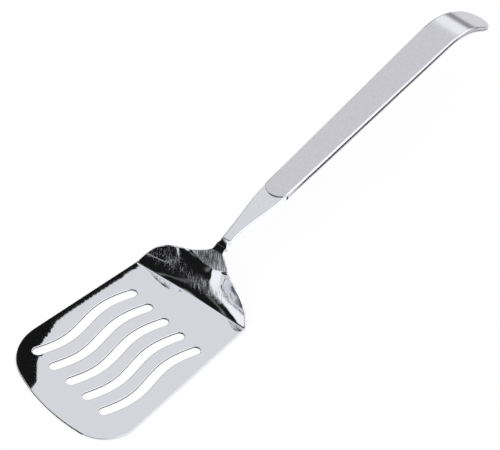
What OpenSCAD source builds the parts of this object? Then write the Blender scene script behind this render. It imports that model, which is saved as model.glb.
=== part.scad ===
// Slotted grill spatula, welded up from stainless steel sheet and bar.
// The blade lies flat on z = 0 with its front edge towards -X. The handle climbs away towards +X.
// The origin is on the underside of the blade, on the centre line, in the plain land behind the slots.

/* [Blade] */
// Length of the flat blade on its centre line, from the front edge to the fold
blade_len = 122; // [100:1:150]
// Width of the blade at the fold
heel_w = 83; // [74:0.5:100]
// Angle by which each side of the blade spreads towards the front
side_flare = 4.5; // [2:0.5:7]
// Radius of the long arc of the front edge
front_r = 125; // [95:5:180]
// How far the front arc's centre lies to the right of the centre line, which slants the edge
front_shift = 26; // [0:1:34]
// Radius of the left front corner
left_corner_r = 33.5; // [18:0.5:38]
// Radius of the right front corner
right_corner_r = 21.5; // [14:0.5:30]
// Thickness of the blade's sheet
sheet_t = 1.2; // [0.8:0.1:1.6]
// Distance from the origin to the fold
land_w = 11; // [8:0.5:14]

/* [Slots] */
// Number of wavy slots
slot_count = 5; // [3:1:5]
// Distance between neighbouring slots, across the blade
slot_pitch = 14.9; // [12:0.1:16]
// How far each slot starts ahead of its left-hand neighbour
slot_stagger = 2.7; // [0:0.1:4]
// Width of a slot
slot_w = 6.5; // [4.6:0.1:7]
// Length of a slot's centre line, without its round ends
slot_len = 70.6; // [50:0.2:74]
// Turn of the middle slot away from the blade's centre line
slot_turn = -5.6; // [-10:0.1:5]
// Angle by which each slot is turned away from its left-hand neighbour
slot_fan = 0.5; // [0:0.1:1]
// Height of the wave
wave_h = 3.25; // [0:0.05:4]
// Length of one wave
wave_len = 72.6; // [60:0.2:90]
// Distance from the slot's middle to the middle of the wave
wave_lead = 0.5; // [-6:0.5:6]
// Distance from the fold to the middle of the slots
slot_back = 61.8; // [58:0.1:66]

/* [Heel] */
// Height of the heel's turned-up rim above the table
rim_h = 18; // [12:0.5:20]
// Height of the heel's neck above the table, where the shank is welded on
neck_h = 21.3; // [17:0.1:26]
// Distance from the fold to the end of the neck
neck_x = 26; // [22:0.5:32]
// Width of the neck at the weld
neck_w = 7.6; // [6:0.5:12]

/* [Shank] */
// Distance from the fold to the shoulder where the grip begins
mouth_x = 73.3; // [60:0.5:100]
// Height of the grip's top face at the shoulder
mouth_h = 33.6; // [28:0.5:50]
// Slope of the neck and of the shank's root
neck_slope = 30; // [20:1:40]
// Width of the shank at the shoulder
bar_w = 15.7; // [13:0.1:19]
// Thickness of the shank at its root
root_t = 4; // [3:0.1:5]
// Thickness of the shank at the shoulder
shank_t = 3.2; // [2.8:0.1:4.2]
// Rounding of the shank's long edges
shank_edge_r = 0.8; // [0.4:0.1:1.4]
// Length of the tang inside the grip
tang_len = 58; // [30:1:90]

/* [Grip] */
// Length of the straight grip, from the shoulder to the hook
grip_len = 137; // [110:1:170]
// Slope of the grip
grip_slope = 10; // [5:0.5:14]
// Width of the grip at the shoulder
mouth_w = 17.2; // [14.6:0.1:20.6]
// Width of the grip where the hook begins
grip_end_w = 21.2; // [17:0.1:26]
// Wall of the two grip covers
cover_t = 0.8; // [0.6:0.05:1]
// Thickness of the grip where the hook begins
grip_end_t = 3.8; // [3.4:0.1:4.6]
// How far the arc's nose reaches over the shank
nose_len = 5.4; // [3:0.1:6]
// Rounding of the grip's long edges, as a share of half its thickness
edge_share = 0.9; // [0.3:0.05:0.95]
// Height of the weld seam between the covers
seam_t = 0.4; // [0.2:0.1:0.6]
// Gap between the tang and the covers
tang_gap = 0.1; // [0.05:0.05:0.2]

/* [Hook] */
// Radius of the hook's bend, along its top face
hook_r = 40; // [24:1:50]
// Angle through which the hook bends down
hook_sweep = 42; // [30:1:80]
// Length of the straight tail beyond the bend, with its round end
hook_tail = 15.8; // [12:0.2:30]
// Thickness of the hook at its tip
hook_t = 3; // [2.8:0.1:4.2]

/* [Welds] */
// Length of the fillet under the neck
fillet_len = 3; // [1:0.5:4]
// Diameter of a weld nugget
nugget_d = 5; // [3:0.5:6]

/* [Hidden] */

polished = "#d2d3d8";
satin = "#b9b8be";
weld_grey = "#a9a9ae";

corner_steps = 12;   // segments in each front corner
front_steps = 16;    // segments in the front edge
slot_steps = 30;     // segments along each side of a slot
end_steps = 8;       // segments in each round end of a slot
heel_rows = 22;      // rows of the heel between the fold and the neck
heel_columns = 28;   // columns of the heel across the blade
shank_rows = 18;     // sections along the bare shank
grip_rows = 10;      // sections along the straight grip
hook_rows = 16;      // sections along the hook's bend
tip_rows = 8;        // sections along the round tip
edge_steps = 3;      // segments in a rounded long edge

// ---- Plain geometry ----
function mix(a, b, u) = a + (b - a) * u;
function clamp01(u) = max(0, min(1, u));
function unit(v) = v / norm(v);
function heading(a) = [cos(a), sin(a)];
function arc(centre, r, from, to, steps) =
    [for (i = [0 : steps]) centre + r * heading(mix(from, to, i / steps))];

// Smooth curve through a list of stations, each a vector, with u running from 0 to 1
function station(list, i) = list[max(0, min(len(list) - 1, i))];
function spline(list, u) =
    let (
        n = len(list) - 1,
        i = min(n - 1, floor(u * n)),
        t = u * n - i,
        a = station(list, i - 1),
        b = station(list, i),
        c = station(list, i + 1),
        d = station(list, i + 2)
    )
    b + t * (c - a) / 2
      + t * t * (a - 2.5 * b + 2 * c - d / 2)
      + t * t * t * (3 * (b - c) + d - a) / 2;

// Closed solid from a list of rings that all have the same number of points
module skin(rings) {
    n = len(rings[0]);
    m = len(rings);
    points = [for (ring = rings) each ring];
    walls = [
        for (i = [0 : m - 2], j = [0 : n - 1])
            let (k = (j + 1) % n)
            each [
                [i * n + j, (i + 1) * n + k, i * n + k],
                [i * n + j, (i + 1) * n + j, (i + 1) * n + k]
            ]
    ];
    first = [for (j = [1 : n - 2]) [0, j, j + 1]];
    last = [for (j = [1 : n - 2]) [(m - 1) * n, (m - 1) * n + j + 1, (m - 1) * n + j]];
    polyhedron(points = points, faces = concat(walls, first, last));
}

// Sheet between two grids of points, upper and lower, with walls along its four edges
module sheet(upper, lower) {
    m = len(upper);
    n = len(upper[0]);
    points = concat([for (row = upper) each row], [for (row = lower) each row]);
    half = m * n;
    faces = [
        for (i = [0 : m - 2], j = [0 : n - 2])
            let (a = i * n + j, b = a + 1, c = a + n, d = c + 1)
            each [
                [a, c, d], [a, d, b],
                [a + half, d + half, c + half], [a + half, b + half, d + half]
            ]
    ];
    ends = [
        for (j = [0 : n - 2])
            let (a = j, b = j + 1, c = (m - 1) * n + j, d = c + 1)
            each [
                [a, b, b + half], [a, b + half, a + half],
                [d, c, c + half], [d, c + half, d + half]
            ]
    ];
    sides = [
        for (i = [0 : m - 2])
            let (a = i * n, b = a + n, c = a + n - 1, d = c + n)
            each [
                [b, a, a + half], [b, a + half, b + half],
                [c, d, d + half], [c, d + half, c + half]
            ]
    ];
    polyhedron(points = points, faces = concat(faces, ends, sides));
}

// Everything is measured from the fold and then moved back by the land
module from_fold() {
    translate([land_w, 0, 0]) children();
}

// ---- Blade outline ----
front_centre = [-blade_len + sqrt(front_r * front_r - front_shift * front_shift), -front_shift];
side_reach = heel_w / 2 * cos(side_flare);

// Centre of a front corner. side is 1 on the left and -1 on the right.
// It lies r inside the straight side and r inside the front arc.
function corner_centre(side, r) =
    let (
        out = [sin(side_flare), side * cos(side_flare)],
        along = [-cos(side_flare), side * sin(side_flare)],
        base = out * (side_reach - r),
        to_base = base - front_centre,
        b = along * to_base,
        c = to_base * to_base - (front_r - r) * (front_r - r)
    )
    base + along * (-b + sqrt(b * b - c));

function direction_from_front(p) = 180 + atan((p - front_centre)[1] / (p - front_centre)[0]);

left_corner = corner_centre(1, left_corner_r);
right_corner = corner_centre(-1, right_corner_r);
left_turn = direction_from_front(left_corner);
right_turn = direction_from_front(right_corner);

blade_outline = concat(
    [[0, heel_w / 2]],
    arc(left_corner, left_corner_r, 90 - side_flare, left_turn, corner_steps),
    arc(front_centre, front_r, mix(left_turn, right_turn, 1 / front_steps), right_turn, front_steps),
    arc(right_corner, right_corner_r, mix(right_turn, 270 + side_flare, 1 / corner_steps),
        270 + side_flare, corner_steps - 1),
    [[0, -heel_w / 2]]
);

// ---- Slots ----
function wave(u) = wave_h * sin(360 * (u - wave_lead) / wave_len);
function wave_heading(u) = atan(wave_h * PI * 2 / wave_len * cos(360 * (u - wave_lead) / wave_len));
function slot_side(side) =
    [for (i = [0 : slot_steps])
        let (u = mix(-slot_len / 2, slot_len / 2, i / slot_steps))
        [u, wave(u)] + side * slot_w / 2 * heading(wave_heading(u) + 90)];
function slot_end(u, side) =
    let (a = wave_heading(u) + side * 90)
    [for (i = [1 : end_steps - 1]) [u, wave(u)] + slot_w / 2 * heading(a - 180 * i / end_steps)];
function backwards(list) = [for (i = [len(list) - 1 : -1 : 0]) list[i]];

slot_outline = concat(
    slot_side(1),
    slot_end(slot_len / 2, 1),
    backwards(slot_side(-1)),
    slot_end(-slot_len / 2, -1)
);

module slots() {
    for (i = [0 : slot_count - 1]) {
        row = i - (slot_count - 1) / 2;
        translate([-slot_back - row * slot_stagger, -row * slot_pitch, -sheet_t])
            rotate([0, 0, slot_turn + row * slot_fan])
                linear_extrude(height = 3 * sheet_t)
                    polygon(slot_outline);
    }
}

// ---- Heel: the sheet behind the fold ----
// Each station is [centre x, centre height, edge x, half width, edge height] of the top face.
// The edge climbs to the rim and then runs in to the neck, so the heel is a scoop.
neck_end = [neck_x, neck_h, neck_x, neck_w / 2, neck_h];
neck_run = 3.4;      // straight run of the neck before the weld
neck_spread = 0.3;   // how much the neck widens, on each side, along that run
neck_foot = neck_end
    - neck_run * [cos(neck_slope), sin(neck_slope), cos(neck_slope), 0, sin(neck_slope)]
    + [0, 0, 0, neck_spread, 0];
heel_stations = [
    [0, sheet_t, 0, heel_w / 2, sheet_t],
    [0.1 * neck_x, sheet_t + 0.07 * rim_h, 2.2, heel_w / 2 - 2.2, 0.27 * rim_h],
    [0.2 * neck_x, sheet_t + 0.17 * rim_h, 4.6, heel_w / 2 - 5.2, 0.52 * rim_h],
    [0.31 * neck_x, sheet_t + 0.29 * rim_h, 6.4, heel_w / 2 - 10.4, 0.83 * rim_h],
    [0.42 * neck_x, sheet_t + 0.41 * rim_h, 8.6, heel_w / 2 - 17.2, 1.03 * rim_h],
    [0.54 * neck_x, sheet_t + 0.54 * rim_h, 12, heel_w / 2 - 23.6, 1.04 * rim_h],
    [0.68 * neck_x, sheet_t + 0.72 * rim_h, 17, heel_w / 2 - 29.6, 0.97 * rim_h],
    [0.8 * neck_x, sheet_t + 0.9 * rim_h, 21, heel_w / 2 - 34.6, 1.0 * rim_h],
    neck_foot,
    neck_end
];

function heel_point(s, v) =
    let (bulge = v * v)
    [mix(s[0], s[2], bulge), v * s[3], mix(s[1], s[4], bulge)];
heel_upper = [
    for (i = [0 : heel_rows])
        let (s = spline(heel_stations, i / heel_rows))
        [for (j = [0 : heel_columns]) heel_point(s, 1 - 2 * j / heel_columns)]
];

// Direction down through the sheet: straight down at the fold, square to the neck at its end
function heel_down(i, j) =
    i == 0 ? [0, 0, -1] :
    i == heel_rows ? [sin(neck_slope), 0, -cos(neck_slope)] :
    let (
        across = heel_upper[i][max(0, j - 1)] - heel_upper[i][min(heel_columns, j + 1)],
        along = heel_upper[i + 1][j] - heel_upper[i - 1][j]
    )
    unit(cross(across, along));
heel_lower = [
    for (i = [0 : heel_rows])
        [for (j = [0 : heel_columns]) heel_upper[i][j] + sheet_t * heel_down(i, j)]
];

module blade() {
    color(polished) from_fold() {
        difference() {
            linear_extrude(height = sheet_t) polygon(blade_outline);
            slots();
        }
        sheet(heel_upper, heel_lower);
    }
}

// ---- Centre line of the handle's top face, as [x, height, slope] ----
weld_gap = 0.8;      // root opening that the butt weld fills
lap = nose_len + 1;  // straight run of the shank under the covers' nose
shoulder = [mouth_x, mouth_h];
shank_end = shoulder - cover_t * [-sin(grip_slope), cos(grip_slope)];
shank_root = [neck_x, neck_h] + weld_gap * heading(neck_slope);
bend_end = shank_end - lap * heading(grip_slope);
root_pull = 5;       // how long the root keeps the slope of the neck
shank_pull = 30;     // how long the bend takes to reach the grip's slope

function bezier(p, u) =
    pow(1 - u, 3) * p[0] + 3 * u * pow(1 - u, 2) * p[1] + 3 * u * u * (1 - u) * p[2] + pow(u, 3) * p[3];
function bezier_run(p, u) =
    pow(1 - u, 2) * (p[1] - p[0]) + 2 * u * (1 - u) * (p[2] - p[1]) + u * u * (p[3] - p[2]);
shank_curve = [
    shank_root,
    shank_root + root_pull * heading(neck_slope),
    bend_end - shank_pull * heading(grip_slope),
    bend_end
];
function shank_place(u) =
    let (p = bezier(shank_curve, u), d = bezier_run(shank_curve, u))
    [p[0], p[1], atan(d[1] / d[0])];

// Place on the grip's top face at a distance s behind the shoulder
bend_len = hook_r * hook_sweep * PI / 180;
grip_total = grip_len + bend_len + hook_tail;
bend_start = shoulder + grip_len * heading(grip_slope);
bend_centre = bend_start + hook_r * heading(grip_slope - 90);
function grip_place(s) =
    s <= grip_len ? [each shoulder + s * heading(grip_slope), grip_slope] :
    let (
        turned = min(hook_sweep, (s - grip_len) / hook_r * 180 / PI),
        a = grip_slope - turned,
        beyond = max(0, s - grip_len - bend_len)
    )
    [each bend_centre + hook_r * heading(a + 90) + beyond * heading(a), a];

// ---- Sections ----
// Outline across the handle between the heights lo and hi, with rounded edges.
// Heights are measured square to the top face, which is at 0.
function corner(centre, r, from) = r == 0 ? [centre] : arc(centre, r, from, from + 90, edge_steps);
function section(w, lo, hi, r_lo, r_hi) =
    let (top = min(r_hi, w / 2.1), bottom = min(r_lo, w / 2.1))
    concat(
        corner([w / 2 - top, hi - top], top, 0),
        corner([-w / 2 + top, hi - top], top, 90),
        corner([-w / 2 + bottom, lo + bottom], bottom, 180),
        corner([w / 2 - bottom, lo + bottom], bottom, 270)
    );
function on_handle(place, outline) =
    [for (p = outline)
        [place[0] - p[1] * sin(place[2]), p[0], place[1] + p[1] * cos(place[2])]];

// ---- Grip laws along s ----
mouth_t = shank_t + 2 * cover_t;
function grip_w(s) = mix(mouth_w, grip_end_w, clamp01(s / grip_len));
function grip_t(s) =
    s <= grip_len ? mix(mouth_t, grip_end_t, clamp01(s / grip_len))
                  : mix(grip_end_t, hook_t, (s - grip_len) / (grip_total - grip_len));

// Each layer is [lowest height, highest height, rounding below, rounding above]
least_r = 0.3;       // least rounding inside the covers and on the tang
function layer(kind, s) =
    let (
        t = grip_t(s),
        edge_r = edge_share * (t - seam_t) / 2,
        cavity_r = max(least_r, edge_r - cover_t),
        tang_r = max(least_r, edge_r - cover_t - tang_gap)
    )
    kind == "top cover" ? [(seam_t - t) / 2, 0, 0, edge_r] :
    kind == "bottom cover" ? [-t, (-seam_t - t) / 2, edge_r, 0] :
    kind == "seam" ? [(-seam_t - t) / 2, (seam_t - t) / 2, 0, 0] :
    kind == "cavity" ? [cover_t - t, -cover_t, cavity_r, cavity_r] :
    [cover_t + tang_gap - t, -cover_t - tang_gap, tang_r, tang_r];
least_tip_w = 0.4;   // width of the last section of the round tip

// Width left by a round tip of radius r that ends at s_end
function tip_w(s, s_end, r) =
    let (d = max(0, s - s_end + r))
    max(least_tip_w, 2 * sqrt(max(0, r * r - d * d)));
function steps_between(a, b, n) = [for (i = [1 : n]) mix(a, b, i / n)];

// One layer of the grip from s = from to the tip, inset from the outside by the given distance
module grip_layer(kind, inset, from) {
    tip_r = grip_end_w / 2 - inset;
    s_end = grip_total - inset;
    places = concat(
        [from],
        steps_between(from, grip_len, grip_rows),
        steps_between(grip_len, grip_len + bend_len, hook_rows),
        steps_between(grip_len + bend_len, s_end - tip_r, tip_rows / 2),
        [for (i = [1 : tip_rows]) s_end - tip_r + tip_r * sin(90 * i / tip_rows)]
    );
    skin([
        for (s = places)
            let (
                w = min(grip_w(s) - 2 * inset, tip_w(s, s_end, tip_r)),
                l = layer(kind, s)
            )
            on_handle(grip_place(s), section(w, l[0], l[1], l[2], l[3]))
    ]);
}

module at_grip(s) {
    p = grip_place(s);
    translate([p[0], 0, p[1]]) rotate([0, -p[2], 0]) children();
}

// ---- Mouth of the grip ----
// The covers end on the shank in an arc that meets the shoulder at both edges.
mouth_r = (mouth_w * mouth_w / 4 + nose_len * nose_len) / (2 * nose_len);
spare = 2;           // how far a cutting block runs past what it cuts

module mouth_cutter() {
    at_grip(0) difference() {
        translate([-lap - spare, -mouth_w, -mouth_t - spare])
            cube([lap + spare, 2 * mouth_w, mouth_t + 2 * spare]);
        translate([mouth_r - nose_len, 0, -mouth_t - 2 * spare])
            cylinder(r = mouth_r, h = mouth_t + 4 * spare, $fn = 64);
    }
}

// Room for the bare shank between the noses of the two covers
module shank_room() {
    at_grip(0)
        translate([-lap - spare, -mouth_w, cover_t - mouth_t])
            cube([lap + spare, 2 * mouth_w, shank_t]);
}

module cover(kind) {
    color(satin) from_fold() difference() {
        grip_layer(kind, 0, -lap);
        grip_layer("cavity", cover_t, -lap - spare);
        shank_room();
        mouth_cutter();
    }
}

module grip_top_cover() {
    cover("top cover");
}

module grip_bottom_cover() {
    cover("bottom cover");
}

module grip_seam_weld() {
    color(satin) from_fold() difference() {
        grip_layer("seam", 0, 0);
        grip_layer("cavity", cover_t, -spare);
    }
}

// ---- Shank ----
// The root keeps the neck's width, and then the bar spreads to its full width before the shoulder.
root_share = 0.15;   // share of the bare shank that keeps the neck's width
full_share = 0.94;   // share of the bare shank where it reaches its full width
function ease(t) = t * t * (3 - 2 * t);
function shank_w(x) =
    let (share = (x - neck_x) / (mouth_x - neck_x))
    mix(neck_w, bar_w, ease(clamp01((share - root_share) / (full_share - root_share))));
function bar_t(u) = mix(root_t, shank_t, clamp01(u));

module shank() {
    bare = [
        for (i = [0 : shank_rows])
            let (u = i / shank_rows, place = shank_place(u))
            on_handle(place, section(shank_w(place[0]), -bar_t(u), 0, shank_edge_r, shank_edge_r))
    ];
    shoulder_ring = on_handle(grip_place(0),
        section(bar_w, cover_t - mouth_t, -cover_t, shank_edge_r, shank_edge_r));
    tang_w = min(bar_w, mouth_w - 2 * (cover_t + tang_gap));
    tang = [
        for (s = [0, tang_len / 2, tang_len])
            let (l = layer("tang", s))
            on_handle(grip_place(s), section(tang_w, l[0], l[1], l[2], l[3]))
    ];
    color(polished) from_fold() skin(concat(bare, [shoulder_ring], tang));
}

// ---- Welds ----
// Butt weld between the blade's neck and the shank's root, with a fillet under the thin sheet
module neck_weld() {
    down = heading(neck_slope - 90);
    neck_top = [neck_x, neck_h];
    neck_under = neck_top + sheet_t * down;
    profile = [
        neck_top,
        neck_under,
        neck_under - fillet_len * heading(neck_slope),
        shank_root + root_t * down,
        shank_root
    ];
    color(weld_grey) from_fold()
        rotate([90, 0, 0])
            linear_extrude(height = neck_w - 2 * shank_edge_r, center = true)
                polygon(profile);
}

// Nuggets between the tang and both covers
module tang_spot_welds() {
    color(weld_grey) from_fold()
        for (share = [0.25, 0.75], top = [true, false]) {
            s = share * tang_len;
            foot = top ? -cover_t - tang_gap : cover_t - grip_t(s);
            at_grip(s)
                translate([0, 0, foot])
                    cylinder(d = nugget_d, h = tang_gap, $fn = 48);
        }
}

blade();
neck_weld();
shank();
tang_spot_welds();
grip_top_cover();
grip_bottom_cover();
grip_seam_weld();
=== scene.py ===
"""Slotted grill spatula of polished and satin stainless steel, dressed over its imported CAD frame.

Lengths inside this script are millimetres, measured from the middle of the fold between the flat blade
and its scooped heel. X runs from the blade to the handle, Y to the left and Z up. Each finished piece is
moved by the plain land behind the slots and scaled to metres, which puts it in the shared frame.
"""

import logging
import math
from dataclasses import dataclass, field, replace
from enum import Enum

import bmesh
import bpy
import numpy as np
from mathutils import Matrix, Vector, geometry

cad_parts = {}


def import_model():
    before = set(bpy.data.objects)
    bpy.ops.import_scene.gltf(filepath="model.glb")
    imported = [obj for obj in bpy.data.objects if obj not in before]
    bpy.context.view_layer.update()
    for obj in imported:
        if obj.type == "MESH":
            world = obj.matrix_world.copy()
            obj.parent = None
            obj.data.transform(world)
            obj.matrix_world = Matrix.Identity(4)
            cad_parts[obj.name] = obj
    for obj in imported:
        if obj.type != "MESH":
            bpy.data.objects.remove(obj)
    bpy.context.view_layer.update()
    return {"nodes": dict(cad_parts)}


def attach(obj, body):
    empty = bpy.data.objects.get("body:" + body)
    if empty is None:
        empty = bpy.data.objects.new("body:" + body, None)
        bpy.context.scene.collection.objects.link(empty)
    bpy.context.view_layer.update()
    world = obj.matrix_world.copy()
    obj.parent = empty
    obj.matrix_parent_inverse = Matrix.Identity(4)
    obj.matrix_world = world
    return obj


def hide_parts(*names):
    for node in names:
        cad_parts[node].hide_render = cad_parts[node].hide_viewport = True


log = logging.getLogger("spatula")

# Plain land behind the slots, up to the fold.
LAND = 11.0
# Metres in a millimetre.
MM = 0.001
# Sizes that more than one piece takes: sheet, neck, bar at the neck, the grip's covers and its mouth.
SHEET = 1.2
NECK_X = 26.0
NECK_HEIGHT = 21.3
NECK_SLOPE = 30.0
NECK_WIDTH = 7.6
BAR_AT_NECK = 4.0
COVER = 0.8
MOUTH_WIDTH = 17.2
# Smoothing groups: room for this many in a mesh, and the one that flat ends are in.
GROUPS = 8
FLAT_END = 1
BODY = "root"


class Slot(Enum):
    """Names of the record's material slots."""

    POLISHED = "polished_steel"
    SATIN = "satin_steel"
    GROUND = "ground_weld"


# ---------------------------------------------------------------------------
# Plain geometry on arrays
# ---------------------------------------------------------------------------


def heading(degrees: np.ndarray | float) -> np.ndarray:
    """Unit vectors in a plane at these angles."""
    angle = np.radians(degrees)
    return np.stack([np.cos(angle), np.sin(angle)], axis=-1)


def unit(vectors: np.ndarray) -> np.ndarray:
    """Vectors scaled to length one."""
    return vectors / np.linalg.norm(vectors, axis=-1, keepdims=True)


def mix(a: np.ndarray | float, b: np.ndarray | float, share: np.ndarray | float) -> np.ndarray | float:
    """Value at a share of the way from a to b."""
    return a + (b - a) * share


def arc(centre: np.ndarray, radius: float, start: float, end: float, steps: int) -> np.ndarray:
    """Points along an arc, both ends included.

    Args:
        centre: Centre of the arc, x and y.
        radius: Radius.
        start: Angle of the first point, in degrees.
        end: Angle of the last point, in degrees.
        steps: Number of segments.

    Returns:
        Array of steps + 1 points.
    """
    return centre + radius * heading(np.linspace(start, end, steps + 1))


def spline(stations: np.ndarray, share: np.ndarray) -> np.ndarray:
    """Smooth curve through stations, each interval a cubic whose slopes come from the neighbours.

    Args:
        stations: One row per station.
        share: Places along the curve, from 0 to 1.

    Returns:
        One row per place.
    """
    last = len(stations) - 1
    first = np.minimum(last - 1, np.floor(share * last)).astype(int)
    t = (share * last - first)[:, None]
    a = stations[np.maximum(first - 1, 0)]
    b = stations[first]
    c = stations[first + 1]
    d = stations[np.minimum(first + 2, last)]
    bend = a - 2.5 * b + 2 * c - d / 2
    return b + t * (c - a) / 2 + t**2 * bend + t**3 * (3 * (b - c) + d - a) / 2


@dataclass
class Shell:
    """Closed surface put together from patches of points.

    Attributes:
        points: Blocks of points, in millimetres from the fold.
        faces: Faces, as indices in to all the points.
        groups: Smoothing group of each face. Faces of one group shade as one surface.
        count: Number of points so far.
    """

    points: list[np.ndarray] = field(default_factory=list)
    faces: list[tuple[int, ...]] = field(default_factory=list)
    groups: list[int] = field(default_factory=list)
    count: int = 0

    def add(self, points: np.ndarray) -> np.ndarray:
        """Adds points of any array shape and returns their indices in that shape."""
        flat = points.reshape(-1, 3)
        self.points.append(flat)
        indices = np.arange(self.count, self.count + len(flat)).reshape(points.shape[:-1])
        self.count += len(flat)
        return indices

    def skin(self, grid: np.ndarray, closed: bool, group: int = 0) -> None:
        """Covers a grid of point indices with four-sided faces.

        Args:
            grid: Indices, one row per section.
            closed: Whether each row joins up with itself.
            group: Smoothing group.
        """
        after = np.roll(grid, -1, axis=1)
        a, b, c, d = grid[:-1], after[:-1], after[1:], grid[1:]
        quads = np.stack([a, b, c, d], axis=-1)
        if not closed:
            quads = quads[:, :-1]
        self.extend(quads.reshape(-1, 4), group)

    def extend(self, faces: np.ndarray | list, group: int) -> None:
        """Adds faces that are already lists of indices."""
        rows = [tuple(int(i) for i in face) for face in faces]
        self.faces.extend(rows)
        self.groups.extend([group] * len(rows))

    def build(
        self, name: str, slot: Slot, material: bpy.types.Material, nodes: tuple[str, ...]
    ) -> bpy.types.Object:
        """Makes the mesh object in the shared frame, shades it, parents it to the body and hides the CAD
        nodes that it stands for.

        A corner's normal is the sum of the face vectors, each as long as the face is large, of the faces
        of one smoothing group that meet there. Flat faces stay flat and roundings blend in to them.

        Args:
            name: Name of the piece.
            slot: Material slot. Not used.
            material: Its material.
            nodes: CAD nodes that it stands for.

        Returns:
            The finished object.
        """
        points = (np.concatenate(self.points) + [LAND, 0.0, 0.0]) * MM
        mesh = bpy.data.meshes.new(name)
        mesh.from_pydata(points.tolist(), [], self.faces)
        work = bmesh.new()
        work.from_mesh(mesh)
        bmesh.ops.recalc_face_normals(work, faces=work.faces)
        work.to_mesh(mesh)
        work.free()
        self.shade(mesh)
        mesh.materials.append(material)
        piece = bpy.data.objects.new(name, mesh)
        bpy.context.scene.collection.objects.link(piece)
        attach(piece, BODY)
        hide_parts(*nodes)
        stands_for = ", ".join(nodes)
        log.info("%s: %d points, %d faces, stands for %s", name, len(points), len(self.faces), stands_for)
        return piece

    def shade(self, mesh: bpy.types.Mesh) -> None:
        """Writes the corner normals that build() describes.

        Args:
            mesh: Mesh whose faces are in the order of the smoothing groups.
        """
        polygons = len(mesh.polygons)
        corners = len(mesh.loops)
        vertex = np.empty(corners, np.int32)
        mesh.loops.foreach_get("vertex_index", vertex)
        sizes = np.empty(polygons, np.int32)
        mesh.polygons.foreach_get("loop_total", sizes)
        normal = np.empty(polygons * 3)
        mesh.polygons.foreach_get("normal", normal)
        area = np.empty(polygons)
        mesh.polygons.foreach_get("area", area)
        vector = normal.reshape(-1, 3) * area[:, None]
        face = np.repeat(np.arange(polygons), sizes)
        key = vertex.astype(np.int64) * GROUPS + np.array(self.groups)[face]
        _, place = np.unique(key, return_inverse=True)
        total = np.zeros((place.max() + 1, 3))
        np.add.at(total, place, vector[face])
        mesh.polygons.foreach_set("use_smooth", np.ones(polygons, bool))
        mesh.normals_split_custom_set(unit(total + 1e-18)[place].tolist())
        mesh.update()


# ---------------------------------------------------------------------------
# Blade: flat plate with five wavy slots, fold, scooped heel and neck
# ---------------------------------------------------------------------------


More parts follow.
